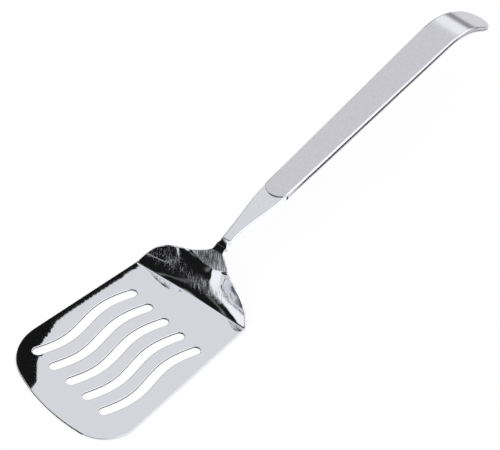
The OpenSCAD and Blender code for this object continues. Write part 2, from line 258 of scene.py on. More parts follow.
@dataclass
class Blade:
    """Pressed sheet from the front edge to the neck, with every edge rounded."""

    thickness: float = SHEET
    length: float = 122.0
    heel_width: float = 83.0
    flare: float = 4.5
    front_radius: float = 125.0
    front_shift: float = 26.0
    left_corner: float = 33.5
    right_corner: float = 21.5
    slot_count: int = 5
    slot_pitch: float = 14.9
    slot_stagger: float = 2.7
    slot_width: float = 6.5
    slot_length: float = 70.6
    slot_turn: float = -5.6
    slot_fan: float = 0.5
    slot_back: float = 61.8
    wave_height: float = 3.25
    wave_length: float = 72.6
    wave_lead: float = 0.5
    rim: float = 18.0
    neck_x: float = NECK_X
    neck_height: float = NECK_HEIGHT
    neck_width: float = NECK_WIDTH
    neck_slope: float = NECK_SLOPE
    neck_run: float = 3.4
    neck_spread: float = 0.3
    edge: float = 0.4
    slot_edge: float = 0.45
    inset: float = 0.035
    fold: float = 0.7
    edge_steps: int = 4
    side_steps: int = 24
    columns: int = 120
    rows: int = 110
    shell: Shell = field(default_factory=Shell)

    def corner_centre(self, side: float, radius: float, front: np.ndarray) -> np.ndarray:
        """Centre of a front corner, which touches the straight side and the long front arc.

        Args:
            side: 1 on the left and -1 on the right.
            radius: Corner radius.
            front: Centre of the front arc.

        Returns:
            Centre, x and y.
        """
        flare = math.radians(self.flare)
        out = np.array([math.sin(flare), side * math.cos(flare)])
        along = np.array([-math.cos(flare), side * math.sin(flare)])
        base = out * (self.heel_width / 2 * math.cos(flare) - radius)
        gap = base - front
        b = along @ gap
        c = gap @ gap - (self.front_radius - radius) ** 2
        return base + along * (-b + math.sqrt(b * b - c))

    def outline(self) -> tuple[np.ndarray, np.ndarray]:
        """Outline of the plate from the left end of the fold round the front to the right end.

        The points lie inset a little, so that these finer arcs stay inside the CAD's outline.

        Returns:
            Points and outward directions, x and y each.
        """
        reach = math.sqrt(self.front_radius**2 - self.front_shift**2)
        front = np.array([-self.length + reach, -self.front_shift])
        left = self.corner_centre(1.0, self.left_corner, front)
        right = self.corner_centre(-1.0, self.right_corner, front)
        turn_left = math.degrees(math.atan2(*(left - front)[::-1])) % 360
        turn_right = math.degrees(math.atan2(*(right - front)[::-1])) % 360
        spread = math.tan(math.radians(self.flare))
        start = np.array([-self.fold, self.heel_width / 2 + self.fold * spread])
        first = arc(left, self.left_corner, 90 - self.flare, turn_left, 36)
        middle = arc(front, self.front_radius, turn_left, turn_right, 40)[1:]
        last = arc(right, self.right_corner, turn_right, 270 + self.flare, 30)[1:]
        along = np.linspace(0, 1, self.side_steps + 1)[:, None]
        side_left = mix(start, first[0], along[:-1])
        side_right = mix(last[-1], start * [1, -1], along[1:])
        points = np.concatenate([side_left, first, middle, last, side_right])
        out_left = np.tile(heading(90 - self.flare), (self.side_steps, 1))
        out_right = np.tile(heading(270 + self.flare), (self.side_steps, 1))
        outward = np.concatenate(
            [
                out_left,
                unit(first - left),
                unit(middle - front),
                unit(last - right),
                out_right,
            ]
        )
        outward[0] = [0.0, 1.0]
        outward[-1] = [0.0, -1.0]
        return points - self.inset * outward, outward

    def slot(self, index: int) -> tuple[np.ndarray, np.ndarray]:
        """Closed outline of one slot: a sine wave of constant width with round ends.

        Args:
            index: Number of the slot, from the left.

        Returns:
            Points and the directions that point out of the opening, x and y each.
        """
        steps = 90
        u = np.linspace(-self.slot_length / 2, self.slot_length / 2, steps + 1)
        phase = 2 * np.pi * (u - self.wave_lead) / self.wave_length
        middle = np.stack([u, self.wave_height * np.sin(phase)], axis=-1)
        slope = self.wave_height * 2 * np.pi / self.wave_length * np.cos(phase)
        angle = np.degrees(np.arctan(slope))
        cap = 180 * np.arange(1, 14) / 14
        angles = np.concatenate([angle + 90, angle[-1] + 90 - cap, angle[::-1] - 90, angle[0] - 90 - cap])
        ends = np.repeat(middle[[-1, 0]], len(cap), axis=0)
        centres = np.concatenate([middle, ends[: len(cap)], middle[::-1], ends[len(cap) :]])
        row = index - (self.slot_count - 1) / 2
        turn = self.slot_turn + row * self.slot_fan
        spin = np.array([heading(turn), heading(turn + 90)])
        place = np.array([-self.slot_back - row * self.slot_stagger, -row * self.slot_pitch])
        away = heading(angles)
        return (centres + self.slot_width / 2 * away) @ spin + place, away @ spin

    def edge_ring(self, points: np.ndarray, into: np.ndarray, radius: float) -> np.ndarray:
        """Rounded edge of the plate: a quarter circle from the top, the wall and a quarter circle below.

        Args:
            points: Outline of the cut, x and y.
            into: Directions from the cut in to the sheet.
            radius: Radius of both quarter circles.

        Returns:
            Array of shape (points, profile, 3).
        """
        turn = np.linspace(0, np.pi / 2, self.edge_steps + 1)
        inset = radius * (1 - np.sin(turn))
        drop = radius * (1 - np.cos(turn))
        inset = np.concatenate([inset, inset[::-1]])
        height = np.concatenate([self.thickness - drop, drop[::-1]])
        flat = points[:, None, :] + into[:, None, :] * inset[None, :, None]
        level = np.broadcast_to(height[None, :, None], (*flat.shape[:2], 1))
        return np.concatenate([flat, level], axis=-1)

    def stations(self) -> np.ndarray:
        """Stations of the heel: centre x, centre height, edge x, half width and edge height."""
        t, rim, x, half = self.thickness, self.rim, self.neck_x, self.heel_width / 2
        slope = math.radians(self.neck_slope)
        end = np.array([x, self.neck_height, x, self.neck_width / 2, self.neck_height])
        run = np.array([math.cos(slope), math.sin(slope), math.cos(slope), 0.0, math.sin(slope)])
        foot = end - self.neck_run * run + [0, 0, 0, self.neck_spread, 0]
        return np.array(
            [
                [0, t, 0, half, t],
                [0.1 * x, t + 0.07 * rim, 2.2, half - 2.2, 0.27 * rim],
                [0.2 * x, t + 0.17 * rim, 4.6, half - 5.2, 0.52 * rim],
                [0.31 * x, t + 0.29 * rim, 6.4, half - 10.4, 0.83 * rim],
                [0.42 * x, t + 0.41 * rim, 8.6, half - 17.2, 1.03 * rim],
                [0.54 * x, t + 0.54 * rim, 12, half - 23.6, 1.04 * rim],
                [0.68 * x, t + 0.72 * rim, 17, half - 29.6, 0.97 * rim],
                [0.8 * x, t + 0.9 * rim, 21, half - 34.6, 1.0 * rim],
                foot,
                end,
            ]
        )

    def heel_top(self, station: np.ndarray, across: np.ndarray) -> np.ndarray:
        """Top face of the heel. The edge leads the middle by the square of the place across.

        Args:
            station: Rows of station values, shape (rows, 5).
            across: Place across the sheet, from -1 on the right to 1 on the left, shape (rows, columns).

        Returns:
            Points, shape (rows, columns, 3).
        """
        s = station[:, None, :]
        bulge = across**2
        x = mix(s[..., 0], s[..., 2], bulge)
        z = mix(s[..., 1], s[..., 4], bulge)
        return np.stack([x, across * s[..., 3], z], axis=-1)

    def surface(self, across: np.ndarray) -> np.ndarray:
        """Top face from just before the fold to the neck, with a small radius in the fold.

        The first rows follow a parabola from the plate, with the fold as its control point.

        Args:
            across: Place across the sheet for each row and column.

        Returns:
            Points, shape (rows, columns, 3).
        """
        bend = 6
        reach = 0.03
        share = np.concatenate([np.full(bend, reach), np.linspace(reach, 1, self.rows - bend)])
        top = self.heel_top(spline(self.stations(), share), across)
        spread = math.tan(math.radians(self.flare)) * self.fold
        v = across[:bend]
        start = np.stack(
            [
                np.full_like(v, -self.fold),
                v * (self.heel_width / 2 + spread),
                np.full_like(v, self.thickness),
            ],
            axis=-1,
        )
        fold = self.heel_top(np.repeat(self.stations()[:1], bend, axis=0), v)
        u = (np.arange(bend) / bend)[:, None, None]
        top[:bend] = (1 - u) ** 2 * start + 2 * u * (1 - u) * fold + u**2 * top[:bend]
        return top

    def heel(self) -> np.ndarray:
        """Rings round the sheet from before the fold to the neck, with rounded side edges.

        Returns:
            Points, shape (rows, ring, 3): top from left to right, right edge, bottom, left edge.
        """
        full = np.tile([[-1.0, 1.0]], (self.rows, 1))
        ends = self.surface(full)
        step = 1e-3
        near = self.surface(full * (1 - step))
        pace = np.linalg.norm(ends - near, axis=-1) / step
        limit = 1 - self.edge / pace.min(axis=1, keepdims=True)
        even = np.linspace(1, -1, self.columns)[None, :]
        across = limit * even
        top = self.surface(across)
        along = np.gradient(top, axis=0)
        side = np.gradient(top, axis=1)
        normal = unit(np.cross(side, along))
        normal *= np.sign(normal[..., 2:3])
        normal[0] = [0.0, 0.0, 1.0]
        turn = np.linspace(0, np.pi / 2, self.edge_steps + 1)
        bottom = top - self.thickness * normal
        r = self.edge
        edges = []
        for column, other in ((-1, -2), (0, 1)):
            point = top[:, column]
            up = normal[:, column]
            out = unit(top[:, column] - top[:, other])
            out = unit(out - up * (out * up).sum(axis=-1, keepdims=True))
            sideways = r * np.sin(turn)[None, :, None] * out[:, None]
            upright = r * np.cos(turn)[None, :, None] * up[:, None]
            upper = (point - r * up)[:, None] + sideways + upright
            lower = (point - (self.thickness - r) * up)[:, None] + sideways - upright
            edges.append(np.concatenate([upper[:, 1:], lower[:, ::-1][:, :-1]], axis=1))
        right, left = edges
        return np.concatenate([top, right, bottom[:, ::-1], left[:, ::-1]], axis=1)

    def fill(self, border: np.ndarray, holes: list[np.ndarray], top: np.ndarray) -> np.ndarray:
        """Flat triangles between the plate's border and the slots.

        Args:
            border: Indices round the border.
            holes: Indices round each slot.
            top: All the points, x and y, looked up by index.

        Returns:
            Triangles as indices.
        """
        loops = [border, *holes]
        order = np.concatenate(loops)
        edges = []
        base = 0
        for loop in loops:
            edges += [(base + i, base + (i + 1) % len(loop)) for i in range(len(loop))]
            base += len(loop)
        points = [Vector(p) for p in top[order].tolist()]
        found = geometry.delaunay_2d_cdt(points, edges, [], 0, 1e-6)
        origin = [ids[0] for ids in found[3]]
        triangles = np.array([[origin[i] for i in face] for face in found[2]])
        middle = top[order][triangles].mean(axis=1)
        keep = self.inside(middle, top[border])
        for hole in holes:
            keep &= ~self.inside(middle, top[hole])
        return order[triangles[keep]]

    @staticmethod
    def inside(points: np.ndarray, loop: np.ndarray) -> np.ndarray:
        """Whether each point lies inside a closed outline, by counting the edges to its right.

        Args:
            points: Points, x and y.
            loop: Corners of the outline in order.

        Returns:
            One truth value per point.
        """
        a = loop
        b = np.roll(loop, -1, axis=0)
        x, y = points[:, :1], points[:, 1:]
        crosses = (a[:, 1] > y) != (b[:, 1] > y)
        rise = np.where(b[:, 1] == a[:, 1], 1e-12, b[:, 1] - a[:, 1])
        at = a[:, 0] + (y - a[:, 1]) / rise * (b[:, 0] - a[:, 0])
        return (np.sum(crosses & (x < at), axis=1) % 2) == 1

    def make(self, material: bpy.types.Material) -> bpy.types.Object:
        """Builds the blade with its heel and neck.

        The plate's edge is a band that starts and ends on the heel's first ring. Flat triangles then fill
        the upper and lower faces between that band and the slots.

        Args:
            material: Finish of the blade.

        Returns:
            The finished object.
        """
        rings = self.heel()
        heel = self.shell.add(rings)
        self.shell.skin(heel, closed=True)
        self.shell.extend([heel[-1]], FLAT_END)
        n = self.columns
        k = 2 * self.edge_steps
        points, outward = self.outline()
        profile = self.edge_ring(points[1:-1], -outward[1:-1], self.edge)
        middle = self.shell.add(profile)
        first = heel[0]
        left = np.concatenate([first[:1], first[-k:][::-1], first[2 * n + k - 1 : 2 * n + k]])
        right = np.concatenate([first[n - 1 : n], first[n : n + k], first[n + k : n + k + 1]])
        sweep = np.concatenate([left[None], middle, right[None]])
        self.shell.skin(sweep, closed=False)
        slots = []
        for index in range(self.slot_count):
            loop, away = self.slot(index)
            ring = self.shell.add(self.edge_ring(loop, away, self.slot_edge))
            self.shell.skin(np.concatenate([ring, ring[:1]]), closed=False)
            slots.append(ring)
        everything = np.concatenate(self.shell.points)[:, :2]
        upper_border = np.concatenate([first[:n], sweep[1:-1, 0][::-1]])
        lower_border = np.concatenate([first[n + k : 2 * n + k][::-1], sweep[1:-1, -1][::-1]])
        top = self.fill(upper_border, [ring[:, 0] for ring in slots], everything)
        base = self.fill(lower_border, [ring[:, -1] for ring in slots], everything)
        self.shell.extend(top, 0)
        self.shell.extend(base, 0)
        return self.shell.build("spatula_blade", Slot.POLISHED, material, ("blade",))


# ---------------------------------------------------------------------------
# Handle line, shank and weld
# ---------------------------------------------------------------------------


@dataclass
class HandleLine:
    """Line along the top of the shank and the grip, in the upright middle plane."""

    neck_x: float = NECK_X
    neck_height: float = NECK_HEIGHT
    neck_slope: float = NECK_SLOPE
    weld_gap: float = 0.8
    mouth_x: float = 73.3
    mouth_height: float = 33.6
    grip_slope: float = 10.0
    grip_length: float = 137.0
    cover: float = COVER
    lap: float = 6.4
    root_pull: float = 5.0
    shank_pull: float = 30.0
    hook_radius: float = 40.0
    hook_sweep: float = 42.0
    hook_tail: float = 15.8

    @property
    def bend(self) -> float:
        """Length of the hook's bend."""
        return self.hook_radius * math.radians(self.hook_sweep)

    @property
    def total(self) -> float:
        """Length of the grip from the shoulder to the tip."""
        return self.grip_length + self.bend + self.hook_tail

    @property
    def shoulder(self) -> np.ndarray:
        """Place where the grip begins, x and height."""
        return np.array([self.mouth_x, self.mouth_height])

    @property
    def root(self) -> np.ndarray:
        """Place where the shank begins, behind the weld."""
        return np.array([self.neck_x, self.neck_height]) + self.weld_gap * heading(self.neck_slope)

    def shank(self, u: np.ndarray) -> tuple[np.ndarray, np.ndarray]:
        """Places along the bare shank, a cubic curve from the neck's slope to the grip's slope.

        Args:
            u: Shares from 0 at the root to 1 under the grip's nose.

        Returns:
            Places (x and height) and slopes in degrees.
        """
        grip = heading(self.grip_slope)
        side = np.array([-grip[1], grip[0]])
        end = self.shoulder - self.cover * side - self.lap * grip
        first_pull = self.root + self.root_pull * heading(self.neck_slope)
        p = np.array([self.root, first_pull, end - self.shank_pull * grip, end])
        w = u[:, None]
        place = (1 - w) ** 3 * p[0] + 3 * w * (1 - w) ** 2 * p[1] + 3 * w**2 * (1 - w) * p[2] + w**3 * p[3]
        run = (1 - w) ** 2 * (p[1] - p[0]) + 2 * w * (1 - w) * (p[2] - p[1]) + w**2 * (p[3] - p[2])
        return place, np.degrees(np.arctan2(run[:, 1], run[:, 0]))

    def grip(self, s: np.ndarray) -> tuple[np.ndarray, np.ndarray]:
        """Places along the top of the grip: straight, then an arc down, then a straight tail.

        Args:
            s: Distances behind the shoulder.

        Returns:
            Places (x and height) and slopes in degrees, in the shape of s.
        """
        grip = heading(self.grip_slope)
        straight = self.shoulder + np.minimum(s, self.grip_length)[..., None] * grip
        centre = self.shoulder + self.grip_length * grip + self.hook_radius * heading(self.grip_slope - 90)
        turned = np.clip(np.degrees((s - self.grip_length) / self.hook_radius), 0, self.hook_sweep)
        slope = self.grip_slope - turned
        beyond = np.maximum(0, s - self.grip_length - self.bend)[..., None]
        bent = centre + self.hook_radius * heading(slope + 90) + beyond * heading(slope)
        return np.where((s > self.grip_length)[..., None], bent, straight), slope

    @staticmethod
    def lift(place: np.ndarray, slope: np.ndarray, y: np.ndarray, h: np.ndarray) -> np.ndarray:
        """Points beside and above the line, square to its slope.

        Args:
            place: Places on the line, x and height.
            slope: Slopes there, in degrees.
            y: Distances to the left.
            h: Distances above.

        Returns:
            Points in space.
        """
        turn = np.radians(slope)
        return np.stack([place[..., 0] - h * np.sin(turn), y, place[..., 1] + h * np.cos(turn)], axis=-1)


def rounded_section(width: np.ndarray, low: np.ndarray, high: np.ndarray, radius: np.ndarray) -> np.ndarray:
    """Rounded rectangles across the handle, as rings of y and height.

    Args:
        width: Width of each section.
        low: Lowest height of each section.
        high: Highest height of each section.
        radius: Rounding of its corners.

    Returns:
        Array of shape (sections, ring, 2).
    """
    turn = np.linspace(0, 90, 7)
    rings = []
    for start, across, level in ((0, 1, high), (90, -1, high), (180, -1, low), (270, 1, low)):
        inward = np.where(level is high, -1, 1)
        centre = np.stack([across * (width / 2 - radius), level + inward * radius], axis=-1)
        rings.append(centre[:, None] + radius[:, None, None] * heading(turn + start)[None])
    return np.concatenate(rings, axis=1)


@dataclass
class Shank:
    """Polished bar from the weld to its tang inside the grip."""

    line: HandleLine
    root_width: float = NECK_WIDTH
    width: float = 15.7
    root_thickness: float = BAR_AT_NECK
    thickness: float = 3.2
    root_share: float = 0.15
    full_share: float = 0.94
    edge_places: tuple[float, ...] = (0.0, 0.1, 0.5, 1.0)
    edge_radii: tuple[float, ...] = (0.5, 1.6, 1.3, 0.8)
    tang_reach: tuple[float, float] = (-0.5, 58.0)
    tang_widths: tuple[float, float] = (15.7, 15.4)
    tang_lows: tuple[float, float] = (-4.0, -3.6)
    tang_highs: tuple[float, float] = (-COVER, -COVER - 0.1)
    tang_radius: float = 0.8
    rows: int = 90
    shell: Shell = field(default_factory=Shell)

    def spread(self, x: np.ndarray) -> np.ndarray:
        """Width at x, from the neck's width to the full width by a smooth step."""
        share = (x - self.line.neck_x) / (self.line.mouth_x - self.line.neck_x)
        t = np.clip((share - self.root_share) / (self.full_share - self.root_share), 0, 1)
        return mix(self.root_width, self.width, t * t * (3 - 2 * t))

    def make(self, material: bpy.types.Material) -> bpy.types.Object:
        """Builds the bar as rings along the handle line, closed at both ends.

        Args:
            material: Finish of the bar.

        Returns:
            The finished object.
        """
        u = np.linspace(0, 1, self.rows)
        place, slope = self.line.shank(u)
        low = -mix(self.root_thickness, self.thickness, u)
        radius = np.interp(u, self.edge_places, self.edge_radii)
        bare = rounded_section(self.spread(place[:, 0]), low, np.zeros(self.rows), radius)
        rings = [self.line.lift(place[:, None], slope[:, None], bare[..., 0], bare[..., 1])]
        place, slope = self.line.grip(np.array(self.tang_reach))
        tang = rounded_section(
            np.array(self.tang_widths),
            np.array(self.tang_lows),
            np.array(self.tang_highs),
            np.full(2, self.tang_radius),
        )
        rings.append(self.line.lift(place[:, None], slope[:, None], tang[..., 0], tang[..., 1]))
        grid = self.shell.add(np.concatenate(rings))
        self.shell.skin(grid, closed=True)
        self.shell.extend([grid[0]], FLAT_END)
        self.shell.extend([grid[-1]], FLAT_END)
        return self.shell.build("spatula_shank", Slot.POLISHED, material, ("shank",))


@dataclass
class NeckWeld:
    """Ground butt weld that fills the gap behind the neck, with a fillet under the sheet."""

    line: HandleLine
    width: float = NECK_WIDTH
    sheet: float = SHEET
    root: float = BAR_AT_NECK
    reach: float = 3.0
    toe: float = 0.05
    toe_narrowing: float = 1.2
    sweep: float = 1.4
    edge: float = 0.4
    sections: int = 16
    shell: Shell = field(default_factory=Shell)

    def make(self, material: bpy.types.Material) -> bpy.types.Object:
        """Builds the weld as rings along the neck, from the toe of the fillet to the shank.

        Args:
            material: Finish of the weld.

        Returns:
            The finished object.
        """
        run = np.linspace(-self.reach, self.line.weld_gap, self.sections)
        share = (run + self.reach) / (self.reach + self.line.weld_gap)
        start = self.sheet + self.toe
        low = -start - (self.root - start) * share**self.sweep
        high = np.where(run < 0, 0.02 - self.sheet, 0.0)
        radius = np.minimum(self.edge, (high - low) / 2.05)
        width = self.width - np.where(run < 0, self.toe_narrowing * (1 - share), 0)
        neck = np.array([self.line.neck_x, self.line.neck_height])
        place = neck + run[:, None] * heading(self.line.neck_slope)
        ring = rounded_section(width, low, high, radius)
        slope = np.full((len(run), 1), self.line.neck_slope)
        grid = self.shell.add(self.line.lift(place[:, None], slope, ring[..., 0], ring[..., 1]))
        self.shell.skin(grid, closed=True)
        self.shell.extend([grid[0]], FLAT_END)
        self.shell.extend([grid[-1]], FLAT_END)
        return self.shell.build("spatula_neck_weld", Slot.GROUND, material, ("neck_weld",))


# ---------------------------------------------------------------------------
# Grip: two covers and the seam between them
# ---------------------------------------------------------------------------


class Side(Enum):
    """Which cover of the grip a slab is."""

    TOP = 1
    BOTTOM = -1


@dataclass
class Grip:
    """Flat grip with rounded long edges, an arc-shaped nose on the shank and a hooked, round end."""

    line: HandleLine
    mouth_width: float = MOUTH_WIDTH
    end_width: float = 21.2
    mouth_thickness: float = 4.8
    end_thickness: float = 3.8
    tip_thickness: float = 3.0
    nose: float = 5.4
    share: float = 0.9
    seam: float = 0.4
    nose_depth: float = COVER + 0.02
    lip: float = 0.35
    inset: float = 0.003
    edge_steps: int = 8
    columns: int = 20

    def width(self, s: np.ndarray) -> np.ndarray:
        """Half the grip's width, which grows evenly to the start of the hook."""
        return mix(self.mouth_width, self.end_width, np.clip(s / self.line.grip_length, 0, 1)) / 2

    def thickness(self, s: np.ndarray) -> np.ndarray:
        """Thickness of the grip, which falls evenly to the hook and again to the tip."""
        straight = mix(self.mouth_thickness, self.end_thickness, np.clip(s / self.line.grip_length, 0, 1))
        rest = (s - self.line.grip_length) / (self.line.total - self.line.grip_length)
        hooked = mix(self.end_thickness, self.tip_thickness, rest)
        return np.where(s > self.line.grip_length, hooked, straight)

    def edge_radius(self, s: np.ndarray) -> np.ndarray:
        """Rounding of the long edges."""
        return self.share * (self.thickness(s) - self.seam) / 2

    def plan(self) -> tuple[np.ndarray, np.ndarray, np.ndarray]:
        """Left half of the plan outline behind the shoulder, from the shoulder to the tip.

        Returns:
            Distances along the grip, half widths, and the angle of the outward direction.
        """
        tip = self.end_width / 2
        start = self.line.total - tip
        straight = np.linspace(0, self.line.grip_length, 40)
        hook = np.linspace(self.line.grip_length, start, 70)[1:]
        side = np.concatenate([straight, hook])
        turn = np.linspace(90, 0.6, 50)[1:]
        round_end = tip * heading(turn)
        s = np.concatenate([side, start + round_end[:, 0]])
        y = np.concatenate([self.width(side), round_end[:, 1]])
        return s, y, np.concatenate([np.full(len(side), 90.0), turn])

    def nose_plan(self) -> tuple[np.ndarray, np.ndarray, np.ndarray]:
        """Left half of the arc at the mouth, from its middle to where it meets the rounded edge.

        Returns:
            Distances along the grip, half widths, and the angle of the outward direction.
        """
        half = self.mouth_width / 2
        radius = (half**2 + self.nose**2) / (2 * self.nose)
        limit = math.degrees(math.asin((half - 0.45) / radius))
        turn = 180 - np.linspace(0.5, limit, 40)
        round_end = radius * heading(turn)
        return radius - self.nose + round_end[:, 0], round_end[:, 1], turn

    def drop(self, s: np.ndarray, y: np.ndarray) -> np.ndarray:
        """How far the outside lies below the top face, by the quarter circle of the edge.

        Args:
            s: Distances along the grip.
            y: Distances from its middle.

        Returns:
            Depths below the top face.
        """
        radius = self.edge_radius(np.maximum(s, 0))
        past = np.clip(np.abs(y) - (self.width(np.maximum(s, 0)) - radius), 0, radius)
        return radius - np.sqrt(radius**2 - past**2)

    def rings(
        self, s: np.ndarray, y: np.ndarray, turn: np.ndarray, radius: np.ndarray, foot: np.ndarray
    ) -> np.ndarray:
        """Rings of (s, y, height) round one slab of the grip.

        Args:
            s: Outline's distances along the grip.
            y: Outline's half widths.
            turn: Angle of the outline's outward direction.
            radius: Rounding of the upper edge.
            foot: Height of the slab's flat lower face.

        Returns:
            Array of shape (outline, ring, 3).
        """
        out = heading(turn)
        bend = np.linspace(np.pi / 2, 0, self.edge_steps + 1)
        inset = radius[:, None] * (1 - np.sin(bend))
        fall = radius[:, None] * (1 - np.cos(bend))
        edge_s = s[:, None] - inset * out[:, :1]
        edge_y = y[:, None] - inset * out[:, 1:]
        edge_h = -fall - self.drop(edge_s, edge_y) * (s[:, None] < 0)
        wall = np.stack([s, y, foot], axis=-1)[:, None]
        left = np.concatenate([wall, np.stack([edge_s, edge_y, edge_h], axis=-1)], axis=1)
        across = np.linspace(1, -1, self.columns)[1:-1]
        top_s = np.repeat(edge_s[:, -1:], len(across), axis=1)
        top_y = edge_y[:, -1:] * across
        top = np.stack([top_s, top_y, -self.drop(top_s, top_y) * (s[:, None] < 0)], axis=-1)
        right = left[:, ::-1] * [1, -1, 1]
        return np.concatenate([left, top, right], axis=1)

    def place(self, ring: np.ndarray) -> np.ndarray:
        """Points in space of rings of (s, y, height), inset so that they stay inside the CAD's outline."""
        place, slope = self.line.grip(ring[..., 0])
        return self.line.lift(place, slope, ring[..., 1], ring[..., 2] - self.inset)

    def cover(self, side: Side, material: bpy.types.Material, node: str) -> bpy.types.Object:
        """Builds one cover as a closed slab from the nose to the tip.

        Args:
            side: Top or bottom.
            material: Satin steel.
            node: CAD node that it stands for.

        Returns:
            The finished object.
        """
        s, y, turn = self.plan()
        inner = (self.seam - self.thickness(s)) / 2
        behind = self.rings(s, y, turn, self.edge_radius(s), inner)
        s, y, turn = self.nose_plan()
        flat = np.full_like(s, -self.nose_depth)
        ahead = self.rings(s, y, turn, np.full_like(s, self.lip), flat)
        ring = np.concatenate([ahead, behind])
        if side is Side.BOTTOM:
            ring[..., 2] = -self.thickness(np.maximum(ring[..., 0], 0)) - ring[..., 2]
        shell = Shell()
        grid = shell.add(self.place(ring))
        shell.skin(grid, closed=True)
        shell.extend([grid[0]], 0)
        shell.extend([grid[-1]], 0)
        return shell.build(f"spatula_{node}", Slot.SATIN, material, (node,))

    def seam_weld(self, material: bpy.types.Material) -> bpy.types.Object:
        """Builds the flush seam as a band between the covers.

        Args:
            material: Satin steel.

        Returns:
            The finished object.
        """
        s, y, turn = self.plan()
        y = y - 0.02
        middle = -self.thickness(s) / 2
        half = self.seam / 2
        corners = ((y, middle + half), (-y, middle + half), (-y, middle - half), (y, middle - half))
        ring = np.stack([np.stack([s, across, h], axis=-1) for across, h in corners], axis=1)
        shell = Shell()
        grid = shell.add(self.place(ring))
        shell.skin(grid, closed=True)
        shell.extend([grid[0]], FLAT_END)
        shell.extend([grid[-1]], FLAT_END)
        return shell.build("spatula_grip_seam", Slot.SATIN, material, ("grip_seam_weld",))


# ---------------------------------------------------------------------------
# Finishes
# ---------------------------------------------------------------------------


def linear(code: str) -> tuple[float, float, float, float]:
    """Linear colour of an sRGB hex code."""
    value = np.array([int(code[i : i + 2], 16) for i in (1, 3, 5)]) / 255
    scene = np.where(value <= 0.04045, value / 12.92, ((value + 0.055) / 1.055) ** 2.4)
    return (*scene.tolist(), 1.0)


def dimmed(colour: tuple[float, ...], share: float) -> tuple[float, float, float, float]:
    """Linear colour times a share, never above one."""
    return (*(min(1.0, c * share) for c in colour[:3]), 1.0)


def empty_material(name: str) -> bpy.types.Material:
    """New node material with nothing in its tree."""
    material = bpy.data.materials.new(name)
    material.use_nodes = True
    material.node_tree.nodes.clear()
    return material


def add_node(tree: bpy.types.NodeTree, kind: str, inputs: dict | None = None, **settings) -> bpy.types.Node:
    """Adds one node.

    Args:
        tree: Node tree.
        kind: Name of the node type without its prefix.
        inputs: Values or output sockets by input name or number.
        settings: Settings of the node itself.

    Returns:
        The node.
    """
    node = tree.nodes.new(f"ShaderNode{kind}")
    for name, value in settings.items():
        setattr(node, name, value)
    for name, value in (inputs or {}).items():
        if isinstance(value, bpy.types.NodeSocket):
            tree.links.new(value, node.inputs[name])
        else:
            node.inputs[name].default_value = value
    return node


Value = bpy.types.NodeSocket | float


@dataclass
class NodeMaths:
    """Chains of number nodes in one tree."""

    tree: bpy.types.NodeTree

    def math(self, operation: str, a: Value, b: Value = 0.0) -> bpy.types.NodeSocket:
        """Result of one math node."""
        return add_node(self.tree, "Math", {0: a, 1: b}, operation=operation).outputs[0]

    def step(self, value: Value, low: float, high: float) -> bpy.types.NodeSocket:
        """Smooth rise from 0 at low to 1 at high. High may be the smaller one."""
        inputs = {"Value": value, "From Min": low, "From Max": high}
        return add_node(self.tree, "MapRange", inputs, interpolation_type="SMOOTHSTEP").outputs["Result"]

    def window(self, value: Value, low: float, high: float, soft: float) -> bpy.types.NodeSocket:
        """One between low and high and zero outside, with soft edges."""
        rise = self.step(value, low - soft, low + soft)
        fall = self.step(value, high + soft, high - soft)
        return self.math("MULTIPLY", rise, fall)

    def blend(self, share: Value, a: Value, b: Value) -> bpy.types.NodeSocket:
        """Number between a and b."""
        return add_node(self.tree, "Mix", {0: share, 2: a, 3: b}, data_type="FLOAT").outputs[0]

    def tint(self, share: Value, a: tuple, b: tuple) -> bpy.types.NodeSocket:
        """Colour between a and b."""
        return add_node(self.tree, "Mix", {0: share, 6: a, 7: b}, data_type="RGBA").outputs[2]

    def stretch(self, vector: bpy.types.NodeSocket, scale: tuple) -> bpy.types.NodeSocket:
        """Vector times another, axis by axis."""
        return add_node(self.tree, "VectorMath", {0: vector, 1: scale}, operation="MULTIPLY").outputs[0]

    def noise(self, vector: bpy.types.NodeSocket, scale: float, detail: float = 2.0) -> bpy.types.NodeSocket:
        """Noise with features of one unit over the scale."""
        inputs = {"Vector": vector, "Scale": scale, "Detail": detail, "Roughness": 0.6}
        return add_node(self.tree, "TexNoise", inputs).outputs["Fac"]


@dataclass(frozen=True)
class Steel:
    """One finish of stainless steel.

    Attributes:
        name: Name of the material.
        colour: Colour of the metal.
        dull: Roughness.
        grain: Height of the brushing, in millimetres.
        pitch: Width of a brush line, in millimetres.
        stroke: Length of a brush line along the handle, in millimetres.
        mottle: Share by which the roughness drifts from place to place.
    """

    name: str
    colour: str
    dull: float
    grain: float
    pitch: float
    stroke: float
    mottle: float


# Bar buffed to a mirror. It gives the eye the room: pale towards the bright side, black towards the cloth.
POLISHED = Steel("polished_stainless_steel", "#d3d4da", 0.025, 0.0, 0.4, 12.0, 0.4)
# Sheet buffed the same way, with strokes in the scoop and a ground patch that catch light on the black heel.
# Between the patch's strokes its colour is darkened as painted shade.
BUFFED_SHEET = replace(POLISHED, name="polished_ground_and_painted_shade_stainless_steel")
# Grip brushed along its length. It gives the eye an even, soft grey on the flat and soft-edged bands round
# the hook. The lines of a fine belt are too narrow to show, so they are drawn as coarse as they need.
SATIN = Steel("satin_stainless_steel", "#c6c6cc", 0.17, 0.0012, 0.45, 5.0, 0.25)
# Weld metal ground by hand. It gives the eye a dull, darker grey.
GROUND = Steel("ground_stainless_steel", "#b9b9c0", 0.36, 0.0015, 0.3, 6.0, 0.3)


